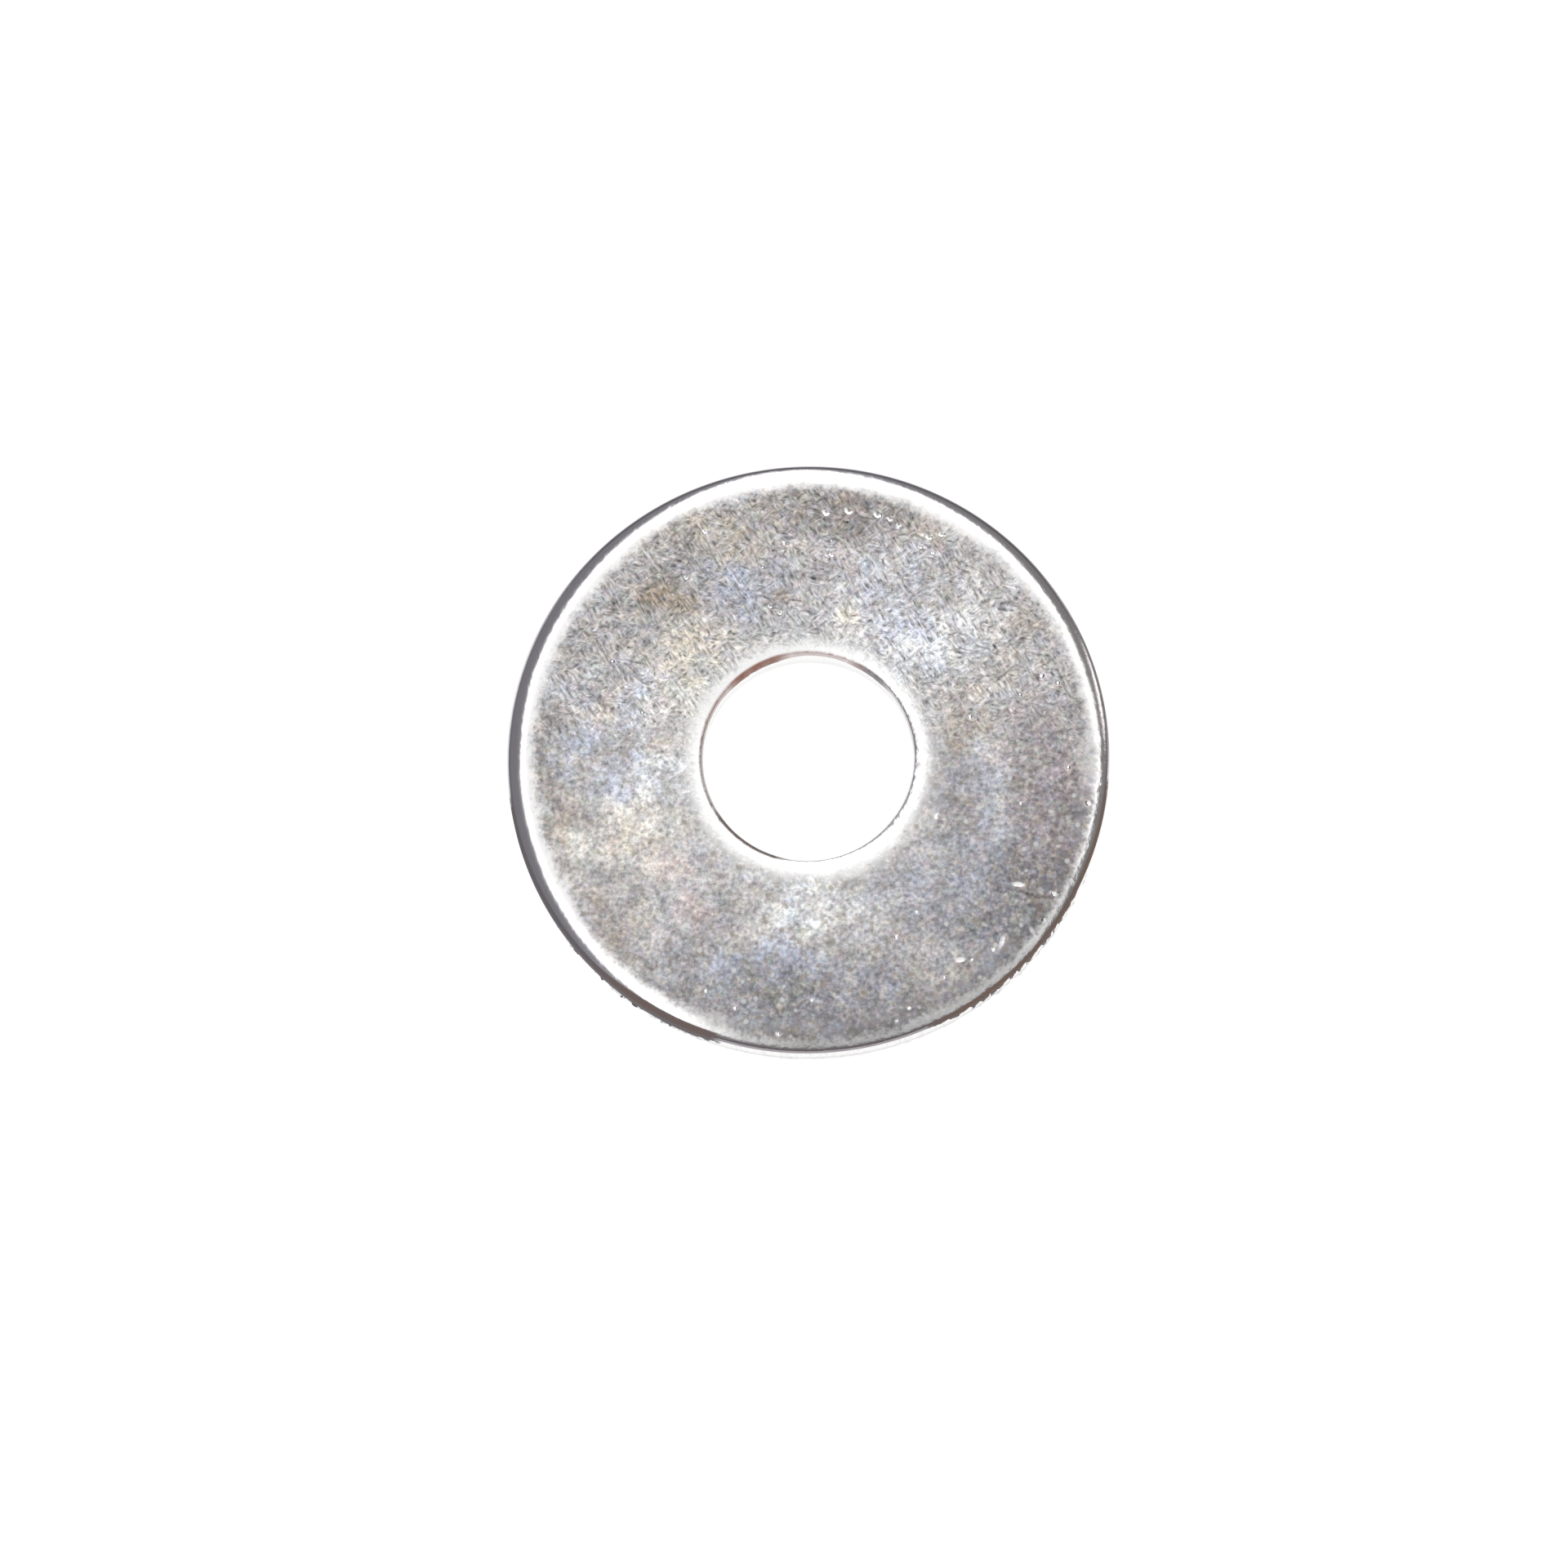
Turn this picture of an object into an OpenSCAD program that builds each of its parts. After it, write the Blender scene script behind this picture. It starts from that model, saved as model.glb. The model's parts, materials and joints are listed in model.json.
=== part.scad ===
// Large flat washer, blanked and pierced from steel strip in one stroke of a compound die.
// Both rims are drawn down on the upper face; the walls below are burnished and then broken.
// Origin at the middle of the underside, +Z up along the bore. Millimetres.

/* [Washer] */
// Outside diameter over the burnished land
outer_d = 24; // [20:0.1:40]
// Diameter of the burnished land in the bore
bore_d = 8.4; // [6:0.1:10.4]
// Thickness between the two flat faces
thickness = 2; // [1.6:0.1:3]

/* [Outer edge] */
// Radial width of the rounding that the die draws over the outer edge
outer_draw_w = 1.15; // [0.7:0.05:1.5]
// Depth of that rounding below the upper face
outer_draw_h = 0.35; // [0.25:0.01:0.45]
// Nose radius where the rounding turns down into the land
outer_nose_r = 0.12; // [0.06:0.01:0.18]
// Height of the burnished land round the outer edge
outer_land_h = 0.7; // [0.4:0.05:0.9]
// How far the broken part of the outer edge leans in at the underside
outer_break_in = 0.08; // [0.02:0.01:0.2]

/* [Bore edge] */
// Radial width of the rounding that the punch draws into the bore
bore_draw_w = 0.8; // [0.5:0.05:1.2]
// Depth of that rounding below the upper face
bore_draw_h = 0.22; // [0.18:0.01:0.4]
// Nose radius where the rounding turns down into the land
bore_nose_r = 0.12; // [0.06:0.01:0.16]
// Height of the burnished land in the bore
bore_land_h = 0.8; // [0.4:0.05:0.9]
// How far the broken part of the bore opens out at the underside
bore_break_out = 0.1; // [0.02:0.01:0.25]

/* [Underside] */
// Chamfer that tumbling leaves on both lower edges
tumbled_edge = 0.05; // [0.02:0.01:0.1]

/* [Torn stretches of the outer break] */
// Radius of the scoop that one tear leaves
tear_r = 0.6; // [0.4:0.05:0.9]
// Deepest bite of a tear into the wall
tear_depth = 0.13; // [0.04:0.01:0.2]
// Pitch of the tears along the wall
tear_pitch = 0.7; // [0.5:0.05:1.2]
// Height of the middle of a tear above the underside
tear_z = 0.22; // [0.1:0.02:0.4]

/* [Dents] */
// Radius of the ball that would leave a dent
dent_r = 0.5; // [0.3:0.05:1]
// Depth of a dent below the surface
dent_depth = 0.02; // [0.01:0.005:0.04]
// Width of the nick across the outer rim
nick_w = 0.24; // [0.1:0.02:0.4]
// Depth of the nick below the rounding
nick_depth = 0.06; // [0.02:0.01:0.1]

/* [Hidden] */
$fn = 180;

outer_r = outer_d / 2;
bore_r = bore_d / 2;
outer_land_z = thickness - outer_draw_h - outer_land_h;
bore_land_z = thickness - bore_draw_h - bore_land_h;
outer_arc_r = draw_arc_r(outer_draw_w, outer_draw_h, outer_nose_r);
// Margin by which a cutting shape stands clear of the surface it leaves through
clear = 1;

// Torn stretches as [first angle, last angle] round the washer
torn_stretches = [[208, 252], [300, 346]];
// Dents as [angle, distance in from the outer edge]
dents = [
    [86, 1.95], [81, 1.75], [74, 1.7], [71.5, 1.7], [69, 1.85], [61.5, 1.8], [59.5, 1.5],
    [62, 2.3], [59, 2.3], [357, 1.6], [350, 0.8], [328, 2.15], [325, 0.7], [321.5, 0.75], [264, 0.75]
];
nick_angle = 331;

// Radius of the large arc that runs level out of the face and into a nose of radius nose
function draw_arc_r(w, h, nose) = (pow(w - nose, 2) + h * h - nose * nose) / (2 * (h - nose));

// Drop of the outer rounding at a distance x in from the outer edge
function outer_drop(x) =
    x >= outer_draw_w ? 0 : outer_arc_r - sqrt(pow(outer_arc_r, 2) - pow(outer_draw_w - x, 2));

// What the die takes off a square corner at the origin, with the metal on the left and below
module drawn_corner(w, h, nose) {
    arc_r = draw_arc_r(w, h, nose);
    // Direction from the middle of the large arc through the middle of the nose
    reach = [w - nose, arc_r - h] / (arc_r - nose);
    difference() {
        translate([-w, -h]) square([w + clear, h + clear]);
        intersection() {
            translate([-w, -arc_r]) circle(arc_r);
            polygon([[-w - clear, -h], [-nose, -h], [-nose, -h] + reach * (nose + clear), [-w - clear, clear]]);
        }
        translate([-nose, -h]) circle(nose);
    }
}

// Half section through the strip: bore wall on the left, outer wall on the right
module section() {
    difference() {
        polygon([
            [bore_r + bore_break_out + tumbled_edge, 0],
            [outer_r - outer_break_in - tumbled_edge, 0],
            [outer_r - outer_break_in, tumbled_edge],
            [outer_r, outer_land_z],
            [outer_r, thickness],
            [bore_r, thickness],
            [bore_r, bore_land_z],
            [bore_r + bore_break_out, tumbled_edge]
        ]);
        translate([outer_r, thickness]) drawn_corner(outer_draw_w, outer_draw_h, outer_nose_r);
        translate([bore_r, thickness]) mirror([1, 0]) drawn_corner(bore_draw_w, bore_draw_h, bore_nose_r);
    }
}

// Scoops along one torn stretch, each with a bite of its own
module tears(first, last) {
    step = 360 * tear_pitch / (2 * PI * outer_r);
    count = floor((last - first) / step);
    for (i = [0 : count]) {
        bite = tear_depth * (0.65 + 0.35 * sin(i * 137.5 + first));
        rotate(first + i * step)
            translate([outer_r - outer_break_in - bite + tear_r, 0, tear_z]) sphere(tear_r);
    }
}

// Ball dents on the face and on the outer rounding
module ball_dents() {
    for (d = dents)
        rotate(d[0])
            translate([outer_r - d[1], 0, thickness - outer_drop(d[1]) + dent_r - dent_depth]) sphere(dent_r);
}

// Nick that a hard edge left across the outer rounding
module rim_nick() {
    middle = outer_draw_w / 2;
    rotate(nick_angle)
        translate([outer_r - middle, 0, thickness - outer_drop(middle) - nick_depth])
            rotate([0, 90 + asin(middle / outer_arc_r), 0])
                rotate(45) cylinder(r = nick_w / 2, h = outer_draw_w, center = true);
}

module washer() {
    color([0.74, 0.74, 0.73])
        difference() {
            rotate_extrude() section();
            for (s = torn_stretches) tears(s[0], s[1]);
            ball_dents();
            rim_nick();
        }
}

washer();
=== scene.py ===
"""Looks of a zinc plated steel washer: its worn mesh, its finish and a plain studio round it."""

import json
import math

import bmesh
import bpy
import numpy as np
from bpy.props import FloatProperty, FloatVectorProperty, IntProperty, PointerProperty
from mathutils import Matrix, Vector, noise


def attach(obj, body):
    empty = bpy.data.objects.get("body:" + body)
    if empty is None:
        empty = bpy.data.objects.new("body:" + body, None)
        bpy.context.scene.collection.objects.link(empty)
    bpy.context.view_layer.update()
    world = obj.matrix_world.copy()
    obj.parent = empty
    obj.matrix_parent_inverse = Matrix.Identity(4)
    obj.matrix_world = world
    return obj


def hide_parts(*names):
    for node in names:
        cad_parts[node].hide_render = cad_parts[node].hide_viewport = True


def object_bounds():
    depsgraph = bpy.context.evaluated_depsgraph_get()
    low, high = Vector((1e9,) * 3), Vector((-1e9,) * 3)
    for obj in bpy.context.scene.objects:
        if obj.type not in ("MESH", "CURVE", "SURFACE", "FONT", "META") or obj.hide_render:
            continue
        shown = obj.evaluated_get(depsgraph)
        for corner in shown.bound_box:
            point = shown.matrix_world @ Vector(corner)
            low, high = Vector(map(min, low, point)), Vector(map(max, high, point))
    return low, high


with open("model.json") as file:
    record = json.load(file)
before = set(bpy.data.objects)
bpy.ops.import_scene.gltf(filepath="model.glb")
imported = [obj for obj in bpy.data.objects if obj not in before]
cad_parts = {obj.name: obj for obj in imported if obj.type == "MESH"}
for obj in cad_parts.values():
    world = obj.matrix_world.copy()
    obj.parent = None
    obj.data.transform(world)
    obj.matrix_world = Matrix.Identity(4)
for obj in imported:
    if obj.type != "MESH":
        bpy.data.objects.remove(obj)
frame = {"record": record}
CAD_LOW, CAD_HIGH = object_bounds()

bl_info = {
    "name": "Zinc Plated Washer",
    "version": (1, 0, 0),
    "blender": (4, 5, 0),
    "location": "View3D > Sidebar > Washer",
    "description": "Models a stamped and zinc plated steel washer with its drawn rims, torn break and dents",
    "category": "Object",
}

MM = 0.001
NODE = "washer"
BORE_MOUNT = next(m for m in frame["record"]["mounts"] if m["name"] == "bore")

# Steps along the half section, from the bore's lower edge once round
UNDERSIDE_STEPS = 16
OUTER_BREAK_STEPS = 9
OUTER_LAND_STEPS = 5
NOSE_STEPS = 5
OUTER_ARC_STEPS = 14
FACE_STEPS = 66
BORE_ARC_STEPS = 9
BORE_LAND_STEPS = 3
BORE_BREAK_STEPS = 4
# Points nearer to each other than this are one point
MERGE_GAP = 0.002 * MM
# Widths of the fine dents of the face, of its broad waves and of the lumps in the torn wall
GRAIN_SIZE = 0.24 * MM
WAVE_SIZE = 2.6 * MM
TEAR_SIZE = 0.3 * MM
# Share of glow in what the camera and gloss see of the floor, and how bright it is when white is 1
FLOOR_GLOW_SHARE = 0.85
FLOOR_GLOW = 1.08
FLOOR_WIDTH = 1.2
WHITE = (1.0, 1.0, 1.0, 1.0)
# Seed of the noise that bends the outlines of the patches of film; Blender would take 0 from the clock
PATCH_SEED = 2

# Stretches of the outer break that are torn deepest, as the middle and half width of each in degrees
TORN_STRETCHES = ((230.0, 24.0), (323.0, 25.0))
# Crescent dents near the far rim: x, y and radius in millimetres, seen from above
CRESCENTS = (
    (0.75, 10.05, 0.21), (1.65, 10.1, 0.22), (2.8, 9.95, 0.22), (3.3, 9.75, 0.15), (3.65, 9.5, 0.15),
    (4.85, 9.0, 0.19), (5.35, 9.1, 0.16), (4.5, 8.6, 0.14), (5.0, 8.35, 0.13), (0.95, 8.3, 0.15),
    (-4.1, 9.3, 0.16), (-1.5, 6.2, 0.13), (-0.95, 8.85, 0.12), (-4.85, 7.4, 0.13), (-1.1, 5.9, 0.12),
)
# Small round dents
DENTS = (
    (0.95, 8.85, 0.1), (9.3, 3.25, 0.17), (9.95, 2.95, 0.14), (8.45, 2.5, 0.12), (6.45, 1.6, 0.12),
    (10.35, -0.5, 0.12), (11.15, -1.95, 0.17), (8.45, -1.95, 0.1), (5.1, -2.45, 0.16),
    (9.38, -6.67, 0.15), (7.34, -7.9, 0.11), (6.5, -8.3, 0.08), (4.3, -6.35, 0.11), (3.5, -7.35, 0.12),
    (5.4, -9.0, 0.1), (4.0, -10.25, 0.11), (3.5, -10.75, 0.09), (-1.2, -11.25, 0.15), (-2.9, -10.2, 0.11),
    (0.15, -9.9, 0.09), (-4.05, -9.5, 0.1), (-7.8, 3.95, 0.13), (-6.6, 1.85, 0.12), (-1.8, 7.75, 0.1),
)
# Long dings: both ends, half width and share of rubbed metal with painted glint
LONG_DINGS = (
    ((8.15, -5.23), (8.55, -5.27), 0.13, 0.9),
    ((6.5, 7.6), (6.85, 7.0), 0.14, 0.25),
    ((8.83, -7.0), (9.05, -7.4), 0.13, 0.7),
    ((7.76, -7.3), (7.62, -7.85), 0.12, 0.8),
    ((5.92, -8.3), (6.18, -8.28), 0.14, 0.9),
    ((9.65, -5.58), (9.88, -5.68), 0.13, 0.9),
)
# Dull dent that runs out over the rim: both ends and half width
DULL_DENT = ((8.1, -5.48), (10.0, -5.9), 0.13)
# Nick in the outer rim: its middle and its radius
NICK = ((9.75, -5.6), 0.14)
# Patches of film, the pale ones partly painted light and the dull ones partly painted shade: the film, then
# x, y, half width, half height in millimetres and strength of each patch
FILM_PATCHES = (
    ("dull_film_and_shade", (
        (8.9, -6.2, 2.4, 4.0, 0.75), (1.5, -10.2, 7.5, 2.0, 0.6), (9.6, -0.5, 1.6, 4.0, 0.55),
        (1.8, 10.1, 3.4, 1.4, 0.5), (5.6, -1.8, 1.8, 3.0, 0.4), (-7.3, -0.6, 0.8, 0.8, 0.35),
        (-8.6, -6.9, 1.4, 1.8, 0.3), (6.4, -6.0, 3.6, 3.4, 0.35), (-3.0, 7.2, 2.2, 1.2, 0.25),
    )),
    ("pale_film_and_light", (
        (4.6, 4.3, 1.9, 1.7, 0.7), (6.2, 5.4, 1.8, 1.6, 0.4), (0.6, -6.2, 2.6, 1.4, 0.75),
        (-5.9, -1.2, 1.3, 1.8, 0.6), (-6.8, -3.0, 3.0, 2.2, 0.35), (-9.2, 0.4, 1.2, 1.0, 0.4),
        (-4.6, 2.4, 1.2, 2.6, 0.6), (3.6, 7.0, 2.6, 1.3, 0.25), (1.6, 5.6, 1.2, 1.0, 0.4),
    )),
    ("blue_film", (
        (-2.2, 6.9, 2.4, 1.5, 0.7), (3.4, 7.0, 2.9, 1.8, 0.4), (3.2, 5.4, 1.6, 1.2, 0.6),
        (4.8, 3.9, 1.2, 1.0, 0.4), (-9.1, 0.5, 1.5, 1.0, 0.55), (-7.3, -0.7, 0.8, 0.8, 0.6),
        (-7.0, 2.4, 0.6, 1.8, 0.5), (-9.3, 3.2, 1.1, 1.1, 0.35), (-5.8, -1.2, 0.9, 0.9, 0.35),
        (-1.4, -8.4, 3.4, 1.4, 0.7), (5.2, -5.4, 3.0, 1.8, 0.4), (6.6, -1.4, 1.2, 1.4, 0.4),
        (2.6, -9.6, 1.6, 1.0, 0.4), (7.2, -3.4, 1.8, 1.8, 0.4), (-4.5, -9.0, 1.6, 1.2, 0.35),
        (7.0, -7.4, 2.4, 1.6, 0.35), (0.0, -10.6, 4.0, 0.8, 0.3),
    )),
    ("straw_film", (
        (-5.0, 4.6, 1.7, 1.4, 0.7), (-4.7, 2.2, 1.3, 2.2, 0.7), (-8.0, 2.0, 0.8, 0.7, 0.4),
        (-4.0, 9.2, 2.2, 1.2, 0.35), (-6.8, -3.6, 2.8, 2.2, 0.45), (-9.6, -3.0, 1.0, 2.0, 0.4),
        (1.5, 5.6, 0.7, 0.6, 0.5), (7.4, 3.2, 1.2, 0.9, 0.35), (6.0, -8.7, 1.0, 0.7, 0.5),
        (4.4, -9.6, 1.0, 0.6, 0.4), (-2.8, 4.9, 1.2, 0.6, 0.4),
    )),
    ("brown_film", (
        (-5.7, 6.7, 1.6, 1.2, 0.75), (4.6, 9.3, 1.4, 0.5, 0.5), (1.2, 10.0, 3.0, 1.1, 0.4),
        (6.1, 1.0, 1.3, 1.5, 0.4), (5.9, -2.2, 0.9, 0.7, 0.3), (8.6, 5.0, 0.7, 2.0, 0.35),
        (-1.0, 6.3, 0.5, 0.4, 0.5), (9.4, -6.6, 1.0, 1.2, 0.4), (-7.8, -6.8, 1.2, 1.6, 0.35),
        (-2.4, 9.6, 2.8, 1.2, 0.3), (-9.8, -1.8, 0.9, 1.4, 0.3),
    )),
    ("pink_film", (
        (-4.2, -6.4, 1.2, 0.8, 0.5), (-5.4, -4.2, 1.4, 1.2, 0.3), (9.4, -1.6, 1.6, 4.2, 0.35),
        (4.6, -0.4, 0.8, 1.2, 0.25), (1.2, 7.8, 1.2, 0.6, 0.2),
    )),
)
# Broad areas of painted light and shade on the upper face: x, y, half width, half height in millimetres and
# gain
LIT_AND_SHADED_AREAS = (
    (9.2, -6.2, 4.8, 5.6, -0.26), (10.2, -2.0, 2.4, 4.5, -0.14), (0.5, -10.6, 8.0, 2.6, -0.22),
    (-7.8, -3.6, 2.8, 3.4, 0.27), (-6.4, 1.6, 1.8, 3.0, 0.24), (4.4, 6.4, 4.4, 3.6, 0.2),
    (-0.6, -6.8, 3.6, 1.4, 0.16), (1.4, 10.2, 3.4, 1.4, -0.14), (-5.8, 6.6, 1.6, 1.4, -0.06),
    (-8.6, 3.6, 1.6, 1.8, 0.14), (5.8, -1.6, 1.6, 2.8, -0.16), (8.4, 5.4, 2.2, 3.6, 0.16),
    (-1.4, 5.4, 2.6, 1.0, -0.14), (-2.2, -8.3, 2.6, 1.2, -0.06), (2.6, -5.2, 2.2, 1.0, -0.18),
    (9.6, 2.4, 1.6, 2.0, 0.12), (-9.6, -2.6, 1.0, 2.0, -0.12), (-2.6, 9.6, 2.2, 1.2, 0.08),
    (-6.0, -6.0, 1.8, 1.8, 0.09), (10.7, -0.2, 0.9, 1.5, 0.22),
)
# Flecks of film: the film and how far its noise is shifted to the right and back, in millimetres
FLECKS = (("blue_film", 7, 3), ("straw_film", -9, 4), ("pink_film", 2, -8), ("green_film", -5, -6))
# Stretches round the washer: first and last azimuth and the softness of both ends, in degrees
STRETCHES = {
    "late_rim_left": (-146.0, -108.0, 10.0),
    "late_rim_back": (70.0, 128.0, 10.0),
    "late_rim_right": (4.0, 44.0, 10.0),
    "wide_bore_ring": (-80.0, -38.0, 12.0),
    "rim_without_highlight": (-110.0, 2.0, 14.0),
    "highlit_line": (-46.0, 0.0, 8.0),
    "shaded_front": (-112.0, -28.0, 14.0),
    "left_tear": (-172.0, -108.0, 10.0),
    "right_tear": (-66.0, -6.0, 8.0),
    "right_teeth": (-62.0, -28.0, 8.0),
    "early_dark": (-130.0, -102.0, 8.0),
    "dark_lip": (2.0, 30.0, 8.0),
    "rusty_left": (-134.0, -100.0, 8.0),
    "brown_shaded_bore": (60.0, 172.0, 8.0),
    "right_bore": (8.0, 42.0, 12.0),
    "grey_bore": (40.0, 68.0, 9.0),
    "back_bore": (66.0, 102.0, 6.0),
    "brown_bore": (100.0, 140.0, 10.0),
    "left_bore": (134.0, 200.0, 8.0),
    "near_left_bore": (-200.0, -148.0, 8.0),
    "front_left_bore": (-150.0, -104.0, 6.0),
}
# How much further out the painted rim highlight starts along some stretches, in millimetres
LATE_RIM = {"late_rim_left": 0.28, "late_rim_back": 0.15, "late_rim_right": 0.2}
# How dark the painted shade line in the bore is along each stretch of it
BORE_LINE = {
    "right_bore": 0.3,
    "grey_bore": 0.8,
    "back_bore": 0.45,
    "brown_bore": 0.9,
    "left_bore": 0.5,
    "near_left_bore": 0.5,
    "front_left_bore": 0.9,
}


class WasherSizes(bpy.types.PropertyGroup):
    """Colours of the plating, of its film and of the broken steel, some of which also serve as painted light
    and shade.
    """

    outer_radius: FloatProperty(
        name="Outer radius", description="Radius over the burnished land",
        default=min(CAD_HIGH.x, CAD_HIGH.y, -CAD_LOW.x, -CAD_LOW.y), unit="LENGTH", precision=5,
    )
    bore_radius: FloatProperty(
        name="Bore radius", description="Radius of the burnished land in the bore",
        default=BORE_MOUNT["dims"]["r_mm"] * MM, unit="LENGTH", precision=5,
    )
    thickness: FloatProperty(
        name="Thickness", description="Distance between the flat faces",
        default=CAD_HIGH.z, unit="LENGTH", precision=5,
    )
    outer_draw_width: FloatProperty(
        name="Outer draw width", description="Radial width of the rounding round the outer edge",
        default=1.15 * MM, unit="LENGTH", precision=5,
    )
    outer_draw_depth: FloatProperty(
        name="Outer draw depth", description="Depth of the rounding round the outer edge",
        default=0.35 * MM, unit="LENGTH", precision=5,
    )
    outer_land: FloatProperty(
        name="Outer land", description="Height of the burnished land round the outer edge",
        default=0.7 * MM, unit="LENGTH", precision=5,
    )
    outer_break: FloatProperty(
        name="Outer break", description="How far the broken wall leans in at the underside",
        default=0.08 * MM, unit="LENGTH", precision=5,
    )
    bore_draw_width: FloatProperty(
        name="Bore draw width", description="Radial width of the rounding into the bore",
        default=0.8 * MM, unit="LENGTH", precision=5,
    )
    bore_draw_depth: FloatProperty(
        name="Bore draw depth", description="Depth of the rounding into the bore",
        default=0.22 * MM, unit="LENGTH", precision=5,
    )
    bore_land: FloatProperty(
        name="Bore land", description="Height of the burnished land in the bore",
        default=0.8 * MM, unit="LENGTH", precision=5,
    )
    bore_break: FloatProperty(
        name="Bore break", description="How far the broken bore wall opens out at the underside",
        default=0.1 * MM, unit="LENGTH", precision=5,
    )
    nose: FloatProperty(
        name="Nose radius", description="Radius where a rounding turns down into its land",
        default=0.12 * MM, unit="LENGTH", precision=5,
    )
    tumbled_edge: FloatProperty(
        name="Tumbled edge", description="Chamfer of the lower edges",
        default=0.05 * MM, unit="LENGTH", precision=5,
    )
    grain_depth: FloatProperty(
        name="Grain depth", description="Depth of the fine dents all over the upper face",
        default=0.01 * MM, unit="LENGTH", precision=6,
    )
    wave_depth: FloatProperty(
        name="Wave depth", description="Depth of the broad waves in the upper face",
        default=0.02 * MM, unit="LENGTH", precision=6,
    )
    dent_depth: FloatProperty(
        name="Dent depth", description="Depth of the larger dents",
        default=0.03 * MM, unit="LENGTH", precision=6,
    )
    tear_depth: FloatProperty(
        name="Tear depth", description="Deepest bite into the broken outer wall",
        default=0.18 * MM, unit="LENGTH", precision=6,
    )
    segments: IntProperty(
        name="Segments", description="Steps of the spin round the axis", default=600, min=60, max=700,
    )


class WasherFinish(bpy.types.PropertyGroup):
    """Colours of the plating, of its film and of the broken steel."""

    zinc: FloatVectorProperty(
        name="Zinc", description="Colour of the plating", subtype="COLOR",
        default=(0.505, 0.488, 0.49), min=0, max=1,
    )
    # Also the colour of the painted highlights on the rims, round the bore, on the dings and in the sparks
    bright_zinc_and_highlight: FloatVectorProperty(
        name="Bright zinc", description="Colour of the rubbed plating on rims and lands", subtype="COLOR",
        default=(0.98, 0.975, 0.97), min=0, max=1,
    )
    # Also painted light: the paler patches, the painted glow round the bore and the painted glints
    pale_film_and_light: FloatVectorProperty(
        name="Pale film", description="Colour of the palest patches", subtype="COLOR",
        default=(0.68, 0.695, 0.70), min=0, max=1,
    )
    blue_film: FloatVectorProperty(
        name="Blue film", description="Colour of the blue patches", subtype="COLOR",
        default=(0.435, 0.462, 0.555), min=0, max=1,
    )
    straw_film: FloatVectorProperty(
        name="Straw film", description="Colour of the straw patches", subtype="COLOR",
        default=(0.66, 0.60, 0.50), min=0, max=1,
    )
    brown_film: FloatVectorProperty(
        name="Brown film", description="Colour of the brown patches", subtype="COLOR",
        default=(0.35, 0.29, 0.23), min=0, max=1,
    )
    pink_film: FloatVectorProperty(
        name="Pink film", description="Colour of the pink patches", subtype="COLOR",
        default=(0.54, 0.44, 0.47), min=0, max=1,
    )
    green_film: FloatVectorProperty(
        name="Green film", description="Colour of the greenish flecks", subtype="COLOR",
        default=(0.47, 0.52, 0.47), min=0, max=1,
    )
    # Also painted shade: the duller patches and the painted dark reflection where the outer rounding turns
    # down
    dull_film_and_shade: FloatVectorProperty(
        name="Dull film", description="Colour of the dull patches", subtype="COLOR",
        default=(0.315, 0.295, 0.32), min=0, max=1,
    )
    # Also the colour of painted dark reflection on the walls and of the painted shade line in the bore
    broken_steel_and_shade: FloatVectorProperty(
        name="Broken steel", description="Colour of the torn wall", subtype="COLOR",
        default=(0.14, 0.136, 0.147), min=0, max=1,
    )
    # Also a colour of the painted shade line in the bore
    rust: FloatVectorProperty(
        name="Rust", description="Colour of the first rust in the torn wall", subtype="COLOR",
        default=(0.2, 0.13, 0.092), min=0, max=1,
    )
    # Painted shade: the brown of the shaded line at the far side of the bore
    bore_shade_brown: FloatVectorProperty(
        name="Bore tarnish", description="Colour of the copper brown line at the far side of the bore",
        subtype="COLOR", default=(0.31, 0.125, 0.075), min=0, max=1,
    )


class WasherStage(bpy.types.PropertyGroup):
    """Camera and light of the studio."""

    tilt: FloatProperty(
        name="Tilt", description="Angle of the camera off the washer's axis", subtype="ANGLE",
        default=math.radians(13.0),
    )
    side: FloatProperty(
        name="Side", description="Direction round the axis that the camera leans to", subtype="ANGLE",
        default=math.radians(-83.0),
    )
    distance: FloatProperty(
        name="Distance", description="From the camera to the washer", default=0.5, unit="LENGTH",
    )
    lens: FloatProperty(
        name="Lens", description="Focal length of the camera", default=288.6, unit="CAMERA",
    )
    background: FloatProperty(
        name="Background", description="Strength of the white round the object", default=1.0,
    )


class Wire:
    """An output socket that takes part in Python sums, each of which adds a Math node."""

    def __init__(self, graph, socket):
        self.graph = graph
        self.socket = socket

    def maths(self, operation, *values):
        return self.graph.node("ShaderNodeMath", {"operation": operation}, dict(enumerate(values)))

    def __add__(self, other):
        return self.maths("ADD", self, other)

    def __radd__(self, other):
        return self.maths("ADD", other, self)

    def __sub__(self, other):
        return self.maths("SUBTRACT", self, other)

    def __rsub__(self, other):
        return self.maths("SUBTRACT", other, self)

    def __mul__(self, other):
        return self.maths("MULTIPLY", self, other)

    def __rmul__(self, other):
        return self.maths("MULTIPLY", other, self)

    def __truediv__(self, other):
        return self.maths("DIVIDE", self, other)

    def __rtruediv__(self, other):
        return self.maths("DIVIDE", other, self)

    def power(self, other):
        return self.maths("POWER", self, other)

    def size(self):
        return self.maths("ABSOLUTE", self)

    def least(self, other):
        return self.maths("MINIMUM", self, other)

    def most(self, other):
        return self.maths("MAXIMUM", self, other)

    def ramp(self, start, end):
        """0 at start and 1 at end, eased between them."""
        settings = {"interpolation_type": "SMOOTHSTEP"}
        return self.graph.node("ShaderNodeMapRange", settings, {0: self, 1: start, 2: end, 3: 0.0, 4: 1.0})


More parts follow.
